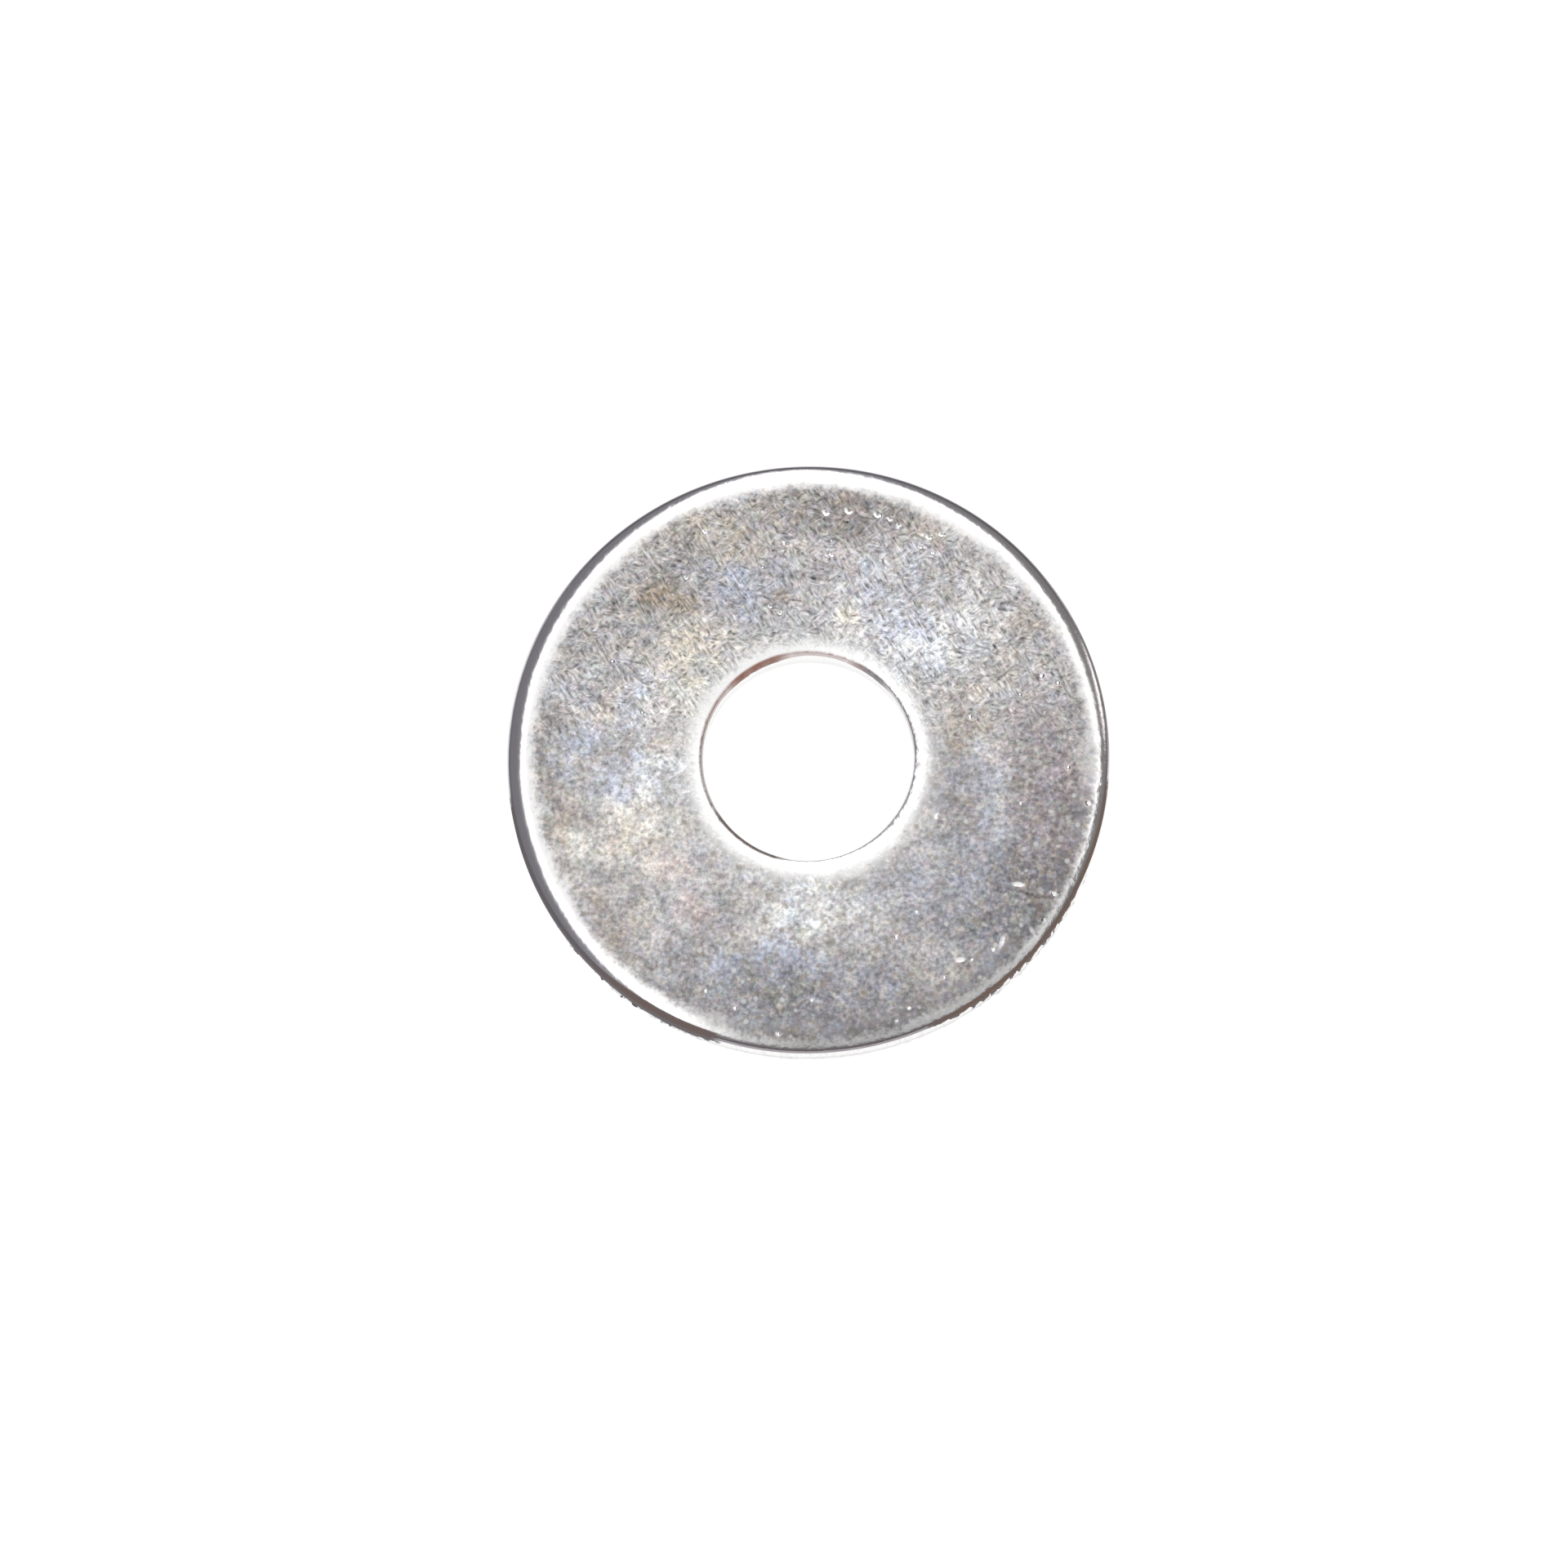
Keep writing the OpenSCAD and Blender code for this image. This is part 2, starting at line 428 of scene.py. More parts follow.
class Graph:
    """A node tree under construction."""

    def __init__(self, tree):
        self.tree = tree
        tree.nodes.clear()

    def node(self, kind, settings=None, inputs=None, output=0):
        """Adds a node, sets it up, fills or links its sockets and gives back one of its outputs."""
        made = self.tree.nodes.new(kind)
        for name, value in (settings or {}).items():
            setattr(made, name, value)
        for name, value in (inputs or {}).items():
            if isinstance(value, Wire):
                self.tree.links.new(value.socket, made.inputs[name])
            else:
                made.inputs[name].default_value = value
        return Wire(self, made.outputs[output]) if made.outputs else made

    def mix(self, share, first, second):
        return self.node("ShaderNodeMix", {"data_type": "RGBA"}, {0: share, 6: first, 7: second}, 2)

    def grey(self, value):
        """A number as a colour that can be multiplied with another."""
        return self.node("ShaderNodeCombineXYZ", None, {i: value for i in range(3)})

    def from_axis(self, place):
        """How far a place is from the washer's axis."""
        return self.vector("LENGTH", self.vector("MULTIPLY", place, (1.0, 1.0, 0.0)), output="Value")

    def vector(self, operation, *values, output=0):
        return self.node("ShaderNodeVectorMath", {"operation": operation}, dict(enumerate(values)), output)

    def split(self, place):
        """The three coordinates of a place."""
        first = self.node("ShaderNodeSeparateXYZ", None, {0: place})
        return [Wire(self, output) for output in first.socket.node.outputs]

    def noise(self, place, size, detail=2.0, roughness=0.5, distortion=0.0):
        """Noise whose grains are about size wide, in the units of place."""
        inputs = {"Vector": place, "Scale": 1 / size, "Detail": detail}
        inputs.update({"Roughness": roughness, "Distortion": distortion})
        return self.node("ShaderNodeTexNoise", None, inputs)

    def cells(self, place, size):
        """Distance from the middle of the nearest cell, for cells that are about size wide."""
        return self.node("ShaderNodeTexVoronoi", None, {"Vector": place, "Scale": 1 / size})


def deselect_all():
    if bpy.context.mode != "OBJECT":
        bpy.ops.object.mode_set(mode="OBJECT")
    bpy.ops.object.select_all(action="DESELECT")


def draw_arc_radius(width, depth, nose):
    """Radius of the large arc that leaves the face level and runs into a nose."""
    return ((width - nose) ** 2 + depth**2 - nose**2) / (2 * (depth - nose))


def drawn_edge(width, depth, nose, arc_steps):
    """Points of a drawn rounding as (in from the wall, down from the face), from the wall to the face."""
    arc = draw_arc_radius(width, depth, nose)
    turn = math.atan2(width - nose, arc - depth)
    points = []
    for i in range(NOSE_STEPS):
        a = math.pi / 2 + (turn - math.pi / 2) * i / NOSE_STEPS
        points.append((nose - nose * math.sin(a), depth - nose * math.cos(a)))
    for i in range(arc_steps + 1):
        a = turn * (1 - i / arc_steps)
        points.append((width - arc * math.sin(a), arc - arc * math.cos(a)))
    return points


def straight(start, end, steps):
    """Points after start up to end, evenly spaced."""
    return [
        (start[0] + (end[0] - start[0]) * i / steps, start[1] + (end[1] - start[1]) * i / steps)
        for i in range(1, steps + 1)
    ]


def section_path(s):
    """Outline of the strip's half section as (radius, height), once round from the bore's lower edge."""
    top = s.thickness
    edge = s.tumbled_edge
    outer_land_low = top - s.outer_draw_depth - s.outer_land
    bore_land_low = top - s.bore_draw_depth - s.bore_land
    outer_edge = drawn_edge(s.outer_draw_width, s.outer_draw_depth, s.nose, OUTER_ARC_STEPS)
    bore_edge = drawn_edge(s.bore_draw_width, s.bore_draw_depth, s.nose, BORE_ARC_STEPS)
    path = [(s.bore_radius + s.bore_break + edge, 0.0)]
    path += straight(path[-1], (s.outer_radius - s.outer_break - edge, 0.0), UNDERSIDE_STEPS)
    path.append((s.outer_radius - s.outer_break, edge))
    path += straight(path[-1], (s.outer_radius, outer_land_low), OUTER_BREAK_STEPS)
    path += straight(path[-1], (s.outer_radius, top - s.outer_draw_depth), OUTER_LAND_STEPS)
    path += [(s.outer_radius - x, top - y) for x, y in outer_edge[1:]]
    path += straight(path[-1], (s.bore_radius + s.bore_draw_width, top), FACE_STEPS)
    path += [(s.bore_radius + x, top - y) for x, y in reversed(bore_edge[:-1])]
    path += straight(path[-1], (s.bore_radius, bore_land_low), BORE_LAND_STEPS)
    path += straight(path[-1], (s.bore_radius + s.bore_break, edge), BORE_BREAK_STEPS)
    path.append(path[0])
    return path


def spin_section(s):
    """Draws the half section point by point and spins it round the axis into the whole washer."""
    path = section_path(s)
    deselect_all()
    bpy.ops.mesh.primitive_plane_add(size=MM, location=(path[0][0], 0, path[0][1]))
    piece = bpy.context.object
    piece.name = "plated_washer"
    bpy.ops.object.transform_apply(location=True, rotation=True, scale=True)
    bpy.ops.object.mode_set(mode="EDIT")
    bpy.ops.mesh.select_all(action="SELECT")
    bpy.ops.mesh.merge(type="CENTER")
    for here, there in zip(path, path[1:]):
        step = (there[0] - here[0], 0, there[1] - here[1])
        bpy.ops.mesh.extrude_vertices_move(TRANSFORM_OT_translate={"value": step})
    bpy.ops.mesh.select_all(action="SELECT")
    bpy.ops.mesh.remove_doubles(threshold=MERGE_GAP)
    bpy.ops.mesh.spin(steps=s.segments, angle=2 * math.pi, center=(0, 0, 0), axis=(0, 0, 1))
    bpy.ops.mesh.select_all(action="SELECT")
    bpy.ops.mesh.remove_doubles(threshold=MERGE_GAP)
    bpy.ops.mesh.normals_make_consistent(inside=False)
    bpy.ops.object.mode_set(mode="OBJECT")
    return piece


def refine(piece, wanted, cuts):
    """Subdivides the faces whose middle the rule wants."""
    bpy.ops.object.mode_set(mode="EDIT")
    bpy.ops.mesh.select_mode(type="FACE")
    bpy.ops.mesh.select_all(action="DESELECT")
    edit = bmesh.from_edit_mesh(piece.data)
    for face in edit.faces:
        if wanted(face.calc_center_median()):
            face.select_set(True)
    bmesh.update_edit_mesh(piece.data)
    bpy.ops.mesh.subdivide(number_cuts=cuts)
    bpy.ops.object.mode_set(mode="OBJECT")


def oval(x, y, start, end, half_width):
    """How far out of an oval round a stretch of line a place is: 0 in its middle and 1 on its outline."""
    length = math.dist(start, end)
    east, north = (end[0] - start[0]) / length, (end[1] - start[1]) / length
    right, up = x - (start[0] + end[0]) / 2, y - (start[1] + end[1]) / 2
    along = (right * east + up * north) / (length / 2 + half_width)
    across = (up * east - right * north) / half_width
    return (along * along + across * across) ** 0.5


def eased(value, start, end):
    """0 at start and 1 at end, eased between them."""
    share = max(0.0, min(1.0, (value - start) / (end - start)))
    return share * share * (3 - 2 * share)


def weigh(piece, name, rule):
    """Gives the piece a vertex group whose weights follow a rule on the vertex's place."""
    group = piece.vertex_groups.new(name=name)
    for vertex in piece.data.vertices:
        weight = rule(vertex.co)
        if weight > 0.001:
            group.add([vertex.index], weight, "REPLACE")
    return group.name


def press(piece, group, depth, direction="Z", grain=None, octaves=1, basis="IMPROVED_PERLIN"):
    """Presses the weighted vertices in by up to depth, everywhere or in the pattern of a grain size."""
    modifier = piece.modifiers.new("press_" + group, "DISPLACE")
    modifier.vertex_group = group
    modifier.direction = direction
    if grain:
        texture = bpy.data.textures.new("grain_" + group, "CLOUDS")
        texture.noise_scale = grain
        texture.noise_depth = octaves
        texture.noise_basis = basis
        texture.contrast = 1.6
        modifier.texture = texture
        modifier.texture_coords = "LOCAL"
        modifier.strength = depth
        modifier.mid_level = 1.0
    else:
        modifier.strength = -depth
        modifier.mid_level = 0.0
    bpy.ops.object.modifier_apply(modifier=modifier.name)


def add_wear(piece, s):
    """Dents the upper face and tears the broken wall."""
    top = s.thickness
    break_top = top - s.outer_draw_depth - s.outer_land
    outer_flat = s.outer_radius - s.outer_draw_width
    bore_flat = s.bore_radius + s.bore_draw_width

    def near_mark(place):
        x, y = place.x / MM, place.y / MM
        if place.z < top - s.outer_draw_depth or math.hypot(x, y) * MM > s.outer_radius - s.nose:
            return False
        dented = any(math.hypot(x - a, y - b) < r * 1.15 for a, b, r in CRESCENTS + DENTS)
        return dented or any(oval(x, y, *ding[:3]) < 1.2 for ding in (*LONG_DINGS, DULL_DENT))

    def torn(place):
        angle = math.degrees(math.atan2(place.y, place.x)) % 360
        return max(1 - eased(abs(angle - middle), half * 0.6, half) for middle, half in TORN_STRETCHES)

    def on_break(place, slack=0.0):
        radius = math.hypot(place.x, place.y)
        return place.z <= break_top and radius >= s.outer_radius - 2 * s.outer_break - slack

    refine(piece, near_mark, 2)
    refine(piece, lambda place: on_break(place) and torn(place) > 0, 1)

    def face_share(place):
        radius = math.hypot(place.x, place.y)
        if place.z < top - s.outer_draw_depth * 0.8:
            return 0.0
        inner = eased(radius, s.bore_radius + s.nose, bore_flat + 0.1 * MM)
        outer = 1 - eased(radius, outer_flat - 0.1 * MM, s.outer_radius - s.nose)
        return min(0.15 + 0.85 * inner, 0.12 + 0.88 * outer)

    def dent_share(place):
        if place.z < top - s.outer_draw_depth:
            return 0.0
        x, y = place.x / MM, place.y / MM
        deepest = 0.0
        for a, b, r in CRESCENTS + DENTS:
            share = math.hypot(x - a, y - b) / r
            if share < 1:
                deepest = max(deepest, (1 - share * share) ** 2 * r / 0.2)
        for a, b, w, _ in LONG_DINGS:
            share = oval(x, y, a, b, w)
            if share < 1:
                deepest = max(deepest, 0.4 * (1 - share * share))
        share = math.hypot(x - NICK[0][0], y - NICK[0][1]) / NICK[1]
        return max(deepest, min(1.0, 1.5 * (1 - share)) if share < 1 else 0.0)

    def burr_share(place):
        if not on_break(place, s.tumbled_edge):
            return 0.0
        return torn(place) * (1 - place.z / break_top) * eased(place.z, s.tumbled_edge, 3 * s.tumbled_edge)

    def break_share(place):
        if not on_break(place, s.tumbled_edge):
            return 0.0
        rise = eased(place.z, break_top, break_top - 0.35 * MM) * eased(place.z, 0.0, s.tumbled_edge)
        return rise * (0.3 + 0.7 * torn(place))

    face = weigh(piece, "face", face_share)
    dents = weigh(piece, "dents", dent_share)
    burr = weigh(piece, "burr", burr_share)
    broken = weigh(piece, "break", break_share)
    press(piece, face, s.grain_depth, grain=GRAIN_SIZE, octaves=2)
    press(piece, face, s.wave_depth, grain=WAVE_SIZE)
    press(piece, dents, s.dent_depth)
    press(piece, burr, -s.outer_break, direction="NORMAL")
    press(piece, broken, s.tear_depth, direction="NORMAL", grain=TEAR_SIZE, basis="VORONOI_F1")
    piece.vertex_groups.clear()
    for texture in list(bpy.data.textures):
        bpy.data.textures.remove(texture)


def smooth(values, start, end):
    """0 at start and 1 at end, eased between them, for an array."""
    share = np.clip((values - start) / (end - start), 0.0, 1.0)
    return share * share * (3 - 2 * share)


def uneven(places, scale, shift, octaves):
    """Cloudy noise at each place, with a mean of 0 and a spread of 1, cut off at 2.5."""
    shift = Vector(shift)
    values = np.array([noise.fractal(Vector(p) * scale + shift, 0.3, 2.0, octaves) for p in places])
    return np.clip((values - values.mean()) / values.std(), -2.5, 2.5)


def paint_film(piece, finish, s):
    """Paints the patches of film and broad painted light and shade on the piece as a colour, with the rubbed
    dings and their painted glints in its alpha.
    """
    count = len(piece.data.vertices)
    places = np.empty(count * 3)
    piece.data.vertices.foreach_get("co", places)
    places = places.reshape(count, 3) / MM
    noise.seed_set(PATCH_SEED)
    pushes = [noise.turbulence_vector(Vector(p) * 0.7, 5, False, amplitude_scale=0.6) for p in places]
    pushes = np.array(pushes)
    warped = places[:, :2] + (pushes[:, :2] - pushes[:, :2].mean(0)) * 0.85
    clouds = uneven(places, 0.5, (9, 4, 1), 5)
    colours = np.tile(np.array(finish.zinc[:]), (count, 1))
    for film, patches in FILM_PATCHES:
        share = np.zeros(count)
        for x, y, half_width, half_height, strength in patches:
            reach = np.hypot((warped[:, 0] - x) / half_width, (warped[:, 1] - y) / half_height)
            share = np.maximum(share, strength * (1 - smooth(reach, 0.3, 1.25)))
        share = np.clip(share * (1 + clouds * 0.35), 0.0, 0.95)[:, None]
        colours = colours * (1 - share) + np.array(getattr(finish, film)[:]) * share
    # Painted light and shade: lighter towards the bore and darker towards the rim, and the broad lit and
    # shaded areas, over random tone
    outward = smooth(np.hypot(places[:, 0], places[:, 1]), 5.0, 10.5)
    tone_and_painted_light = 1 + clouds * 0.125 + 0.12 * (1 - 2 * outward)
    for x, y, half_width, half_height, gain in LIT_AND_SHADED_AREAS:
        reach = np.hypot((warped[:, 0] - x) / half_width, (warped[:, 1] - y) / half_height)
        tone_and_painted_light *= 1 + gain * (1 - smooth(reach, 0.35, 1.2))
    warms = uneven(places, 1.0, (-5, 2, 7), 4)[:, None]
    greens = uneven(places, 1.6, (3, -6, 2), 3)[:, None]
    hues = warms * np.array((0.02, 0.0, -0.025)) + greens * np.array((-0.005, 0.006, -0.005))
    colours = colours * tone_and_painted_light[:, None] * (1 + hues)
    on_face = places[:, 2] > (s.thickness - s.outer_draw_depth) / MM
    marks = np.zeros(count)
    # Painted glints: a bright crescent on the lower left side of each crescent dent, a bright spot in each
    # round dent, and the rubbed long dings
    for x, y, r in CRESCENTS:
        away = np.hypot(places[:, 0] - x, places[:, 1] - y) / r
        lower_left = smooth((0.45 * (x - places[:, 0]) + 0.9 * (y - places[:, 1])) / r, -0.35, 0.2)
        marks = np.maximum(marks, lower_left * (1 - smooth(np.abs(away - 0.62), 0.15, 0.42)))
    for x, y, r in DENTS:
        marks = np.maximum(marks, 1 - smooth(np.hypot(places[:, 0] - x, places[:, 1] - y) / r, 0.25, 0.95))
    for *ding, share in LONG_DINGS:
        away = oval(places[:, 0], places[:, 1], *ding)
        marks = np.maximum(marks, share * (1 - smooth(away, 0.3, 1.0)))
    darkened = 1 - smooth(oval(places[:, 0], places[:, 1], *DULL_DENT), 0.2, 1.0)
    colours = colours * (1 - 0.5 * (darkened * on_face)[:, None])
    alpha = (marks * on_face)[:, None]
    painted = piece.data.color_attributes.new("film", "FLOAT_COLOR", "POINT")
    painted.data.foreach_set("color", np.hstack([np.clip(colours, 0, 1), alpha]).ravel())


def drawn_out(graph, place, angle, length, width):
    """The place in strokes of one length and width that lie at an angle in the plane of the faces."""
    a = math.radians(angle)
    along = graph.vector("DOT_PRODUCT", place, (math.cos(a), math.sin(a), 0.0), output="Value") / length
    across = graph.vector("DOT_PRODUCT", place, (-math.sin(a), math.cos(a), 0.0), output="Value") / width
    return graph.node("ShaderNodeCombineXYZ", None, {0: along, 1: across, 2: 0.0})


def strokes(graph, place, angle, length, width):
    """Noise drawn out into short strokes."""
    drawn = drawn_out(graph, place, angle, length, width)
    return graph.noise(drawn, 1.0, detail=2.0, roughness=0.6, distortion=0.3)


def plated_steel(finish, s):
    """Zinc under a cloudy film with painted light and shade, rubbed bright and painted with highlights on
    the rims and round the bore, and dark where the outer wall is torn, partly as painted dark reflection.
    """
    material = bpy.data.materials.new("zinc_plated_steel")
    material.use_nodes = True
    graph = Graph(material.node_tree)
    place = graph.node("ShaderNodeTexCoord", None, None, "Object")
    mm = graph.vector("MULTIPLY", place, (1 / MM, 1 / MM, 1 / MM))
    east, north, height = graph.split(mm)
    radius = graph.from_axis(mm)
    azimuth = north.maths("ARCTAN2", north, east) * math.degrees(1)
    bore_edge = s.bore_radius / MM
    outer_edge = s.outer_radius / MM
    top = s.thickness / MM
    land_top = top - s.outer_draw_depth / MM
    land_low = land_top - s.outer_land / MM
    bore_land_top = top - s.bore_draw_depth / MM
    bore_land_low = bore_land_top - s.bore_land / MM

    def film(name):
        return (*getattr(finish, name), 1.0)

    def shifted(x, y):
        return graph.vector("ADD", mm, (x, y, 0.0))

    def stretch(name):
        """1 along a stretch round the washer and 0 elsewhere, eased at both ends."""
        start, end, soft = STRETCHES[name]
        return azimuth.ramp(start - soft, start + soft) * (1 - azimuth.ramp(end - soft, end + soft))

    # Painted patches of film with broad painted light and shade in them, broken up by flecks
    cloud = graph.noise(mm, 0.55, detail=3.0, roughness=0.65)
    colour = graph.node("ShaderNodeAttribute", {"attribute_name": "film"}, None, "Color")
    # The alpha holds the rubbed dings with their painted glints
    rubbed = Wire(graph, colour.socket.node.outputs["Alpha"])
    for fleck, x, y in FLECKS:
        share = graph.noise(shifted(x, y), 0.3).ramp(0.5, 0.72) * 0.41
        colour = graph.mix(share, colour, film(fleck))

    # Fine grain: short strokes every way in the rear half of the face, softer round grains in front
    fine = graph.noise(mm, 0.17, detail=2.0, roughness=0.6)
    leaning = strokes(graph, mm, -58.0, 0.4, 0.12)
    crossing = strokes(graph, mm, 38.0, 0.36, 0.12)
    lying = strokes(graph, mm, -12.0, 0.36, 0.13)
    rear = (north + (cloud - 0.5) * 6.0).ramp(-3.0, 3.0)
    which = graph.noise(shifted(3, 8), 0.55, detail=1.0)
    some = which.ramp(0.44, 0.52)
    other = which.ramp(0.54, 0.6)
    drawn = leaning * (1 - some) + (crossing * (1 - other) + lying * other) * some
    grain = fine * (1 - rear * 0.7) + drawn * (rear * 0.7)
    dots = 1 - graph.cells(mm, 0.5).ramp(0.12, 0.26)
    # Painted glints: pale spots all over, and bright strokes in the rear half
    glints = 1 - graph.cells(shifted(4, 4), 0.8).ramp(0.08, 0.17)
    sparks = 1 - graph.cells(drawn_out(graph, shifted(2, 5), -58.0, 1.9, 0.7), 1.0).ramp(0.07, 0.15)
    sparks = sparks * rear * which.ramp(0.4, 0.6)
    marks = (rubbed * (0.5 + fine)).least(1.0)
    dimples = graph.cells(shifted(1, 7), 0.4).ramp(0.1, 0.5)

    # Painted highlights on the rims and round the bore, partly rubbed plating, and rubbed dings with their
    # painted glints
    fray = (cloud - 0.5) * 0.8 + (fine - 0.5) * 0.7
    above = height.ramp(0.3, 1.1)
    # Painted highlight: a white band round the bore
    off_centre = graph.from_axis(shifted(0.0, 0.08)) - stretch("wide_bore_ring") * 0.18
    bore_highlight = above * (1 - (off_centre + fray * 1.2).ramp(bore_edge + 0.29, bore_edge + 0.89))
    dim_side = stretch("rim_without_highlight")
    # The radius, less where the painted rim highlight starts further out
    late = radius
    for name, further in LATE_RIM.items():
        late = late - stretch(name) * further
    rim_highlight = above * (late + fray * 0.8).ramp(outer_edge - 1.3, outer_edge - 0.75) * (1 - dim_side)
    outer_band = (late + fray * 0.5).ramp(outer_edge - 1.5, outer_edge - 0.85) * (1 - dim_side * 0.5)
    rubbed_and_highlit_rim = (radius + fray * (0.3 + dim_side * 0.4)).ramp(outer_edge - 0.7, outer_edge - 0.25)
    rim_highlight_line = radius.ramp(outer_edge - 0.5, outer_edge - 0.36) * stretch("highlit_line")
    # Painted glow: the face paler round the bore
    bore_glow = 1 - (radius + fray * 2.0).ramp(bore_edge + 0.6, bore_edge + 1.8)
    value = (grain - 0.5) * (1.87 + rear * 2.3) + (cloud - 0.5) * 0.76
    value = 1 + value * (1 - outer_band * 0.75)
    colour = graph.mix(bore_glow * 0.4, colour, film("pale_film_and_light"))
    colour = graph.vector("MULTIPLY", colour, graph.grey(value))
    colour = graph.mix(dots * (0.6 - rear * 0.3), colour, film("brown_film"))
    colour = graph.mix(glints * 0.7, colour, film("pale_film_and_light"))
    colour = graph.mix(rubbed_and_highlit_rim * (0.6 + rim_highlight_line * 0.35), colour, film("bright_zinc_and_highlight"))
    bright = bore_highlight.most(marks).most(sparks * 0.7).most(rim_highlight * 0.8)
    colour = graph.mix(bright, colour, film("bright_zinc_and_highlight"))

    # Painted shade: the front of the outer rounding darker than the rest
    darkened = stretch("shaded_front") * radius.ramp(outer_edge - 1.1, outer_edge - 0.35)
    shade = 1 - darkened * height.ramp(land_top - 0.1, land_top) * 0.28
    colour = graph.vector("MULTIPLY", colour, graph.grey(shade))

    # Painted dark reflection along the line where the outer rounding turns down into its land, strongest at
    # the front and back
    nose = radius.ramp(outer_edge - 0.17, outer_edge - 0.1) * height.ramp(land_top - 0.1, land_top)
    facing = (north / radius).size().ramp(0.2, 0.8)
    colour = graph.mix(nose * (facing * 0.5 + 0.3), colour, film("dull_film_and_shade"))

    # Walls: bright lands with drag marks, rough plated break, and dark galled steel on the torn stretches
    # that is partly painted dark reflection, with a painted dark lip on the right
    ragged = graph.noise(mm, 0.45, detail=3.0, roughness=0.75)
    outside = radius.ramp(outer_edge - 0.3, outer_edge - 0.2)
    outside = outside * (1 - height.ramp(land_top - 0.03, land_top + 0.03))
    inside = 1 - radius.ramp(bore_edge + 0.25, bore_edge + 0.35)
    inside = inside * (1 - height.ramp(bore_land_top - 0.03, bore_land_top + 0.03))
    off_floor = height.ramp(0.0, 0.03)
    wall = outside.most(inside) * off_floor
    low = outside * (1 - (height + (ragged - 0.5) * 0.5).ramp(land_low - 0.15, land_low + 0.05))
    low = low.most(inside * (1 - height.ramp(bore_land_low - 0.1, bore_land_low)))
    drag = graph.noise(graph.vector("MULTIPLY", mm, (1.0, 1.0, 0.1)), 0.14, detail=3.0, roughness=0.6)
    worn = wall * (0.02 + outside * (drag.ramp(0.45, 0.75) * 0.22 + low * (0.04 + ragged * 0.2)))
    colour = graph.mix(wall, colour, film("bright_zinc_and_highlight"))
    colour = graph.mix(worn, colour, film("zinc"))
    left = stretch("left_tear")
    right = stretch("right_tear")
    teeth = graph.noise(graph.vector("MULTIPLY", mm, (1.0, 1.0, 0.25)), 0.32, detail=2.0, roughness=0.6)
    teeth = teeth.ramp(0.42, 0.66)
    reach = left * (0.75 + teeth * 0.8) + stretch("right_teeth") * (0.1 + teeth * 0.7)
    early = stretch("early_dark") * 0.11
    skirt = outside.most((radius + early).ramp(outer_edge - 0.15, outer_edge - 0.1))
    galled_and_shaded = skirt * (left.most(right) + (ragged - 0.5) * 0.6).ramp(0.3, 0.6)
    galled_and_shaded = galled_and_shaded * (height - land_top + reach).ramp(-0.05, 0.03)
    lip = radius.ramp(outer_edge - 0.085, outer_edge - 0.065) * height.ramp(land_top - 0.03, land_top)
    galled_and_shaded = galled_and_shaded.most(lip * stretch("dark_lip") * 0.85)
    rusty = graph.noise(mm, 1.1, detail=3.0).ramp(0.4, 0.6)
    fresh = height.ramp(land_top - 0.25, land_top) * (right * 0.7 + stretch("rusty_left") * 0.4)
    dark_colour = graph.mix(rusty * 0.15 + fresh, film("broken_steel_and_shade"), film("rust"))

    # Bore: a painted shade line where the rounding turns down, brown and broad on the far left, grey on the
    # far right
    broad = stretch("brown_bore")
    grey = stretch("grey_bore")
    line_low = bore_land_top - 0.06 - (broad * 0.3 + grey * 0.2) * (0.4 + ragged * 1.2)
    line = (1 - radius.ramp(bore_edge + 0.1, bore_edge + 0.2)) * (height - line_low).ramp(-0.05, 0.0)
    darkness = 0.0
    for name, share in BORE_LINE.items():
        darkness = (stretch(name) * share).most(darkness)
    line = line * darkness * (0.8 + ragged * 0.4)
    line_colour = graph.mix(0.55 - grey * 0.4, film("broken_steel_and_shade"), film("rust"))
    line_colour = graph.mix(stretch("brown_shaded_bore") * 0.85, line_colour, film("bore_shade_brown"))
    near_bore = 1 - radius.ramp(bore_edge + 0.4, bore_edge + 0.5)
    dark_colour = graph.mix(near_bore, dark_colour, line_colour)
    dark_share = (galled_and_shaded * off_floor).most(line)

    # Roughness: the face's own, then that of each part that differs from it
    rough = 0.22 + (fine - 0.5) * 0.2 + (cloud - 0.5) * 0.1
    flank = radius.ramp(outer_edge - 0.85, outer_edge - 0.6)
    for part, own in ((rim_highlight, 0.4), (flank, 0.13), (bore_highlight, 0.22), (rubbed, 0.12), (wall, 0.2)):
        rough = rough * (1 - part) + part * own
    rough = rough + low * 0.2 + drag.ramp(0.45, 0.75) * wall * 0.15
    lumps = graph.noise(mm, 0.24, detail=1.0)
    relief = grain * 0.5 + lumps * 0.3 + dimples * 0.25
    relief = relief * (0.6 + rear * 0.4) * (1 - outer_band * 0.8) * (1 - rubbed) * (1 - wall)
    bump = graph.node("ShaderNodeBump", None, {"Strength": 0.9, "Distance": 0.03 * MM, "Height": relief})
    inputs = {"Base Color": colour, "Metallic": 1.0, "Roughness": rough, "Normal": bump}
    plated = graph.node("ShaderNodeBsdfPrincipled", None, inputs)
    # Dark non-metal for the galled steel, for the painted dark reflection on the walls and for the painted
    # shade line in the bore
    inputs = {"Base Color": dark_colour, "Metallic": 0.0, "Roughness": 0.7, "Specular IOR Level": 0.2}
    bare_and_shaded = graph.node("ShaderNodeBsdfPrincipled", None, inputs)
    shader = graph.node("ShaderNodeMixShader", None, {0: dark_share, 1: plated, 2: bare_and_shaded})
    graph.node("ShaderNodeOutputMaterial", None, {"Surface": shader})
    return material


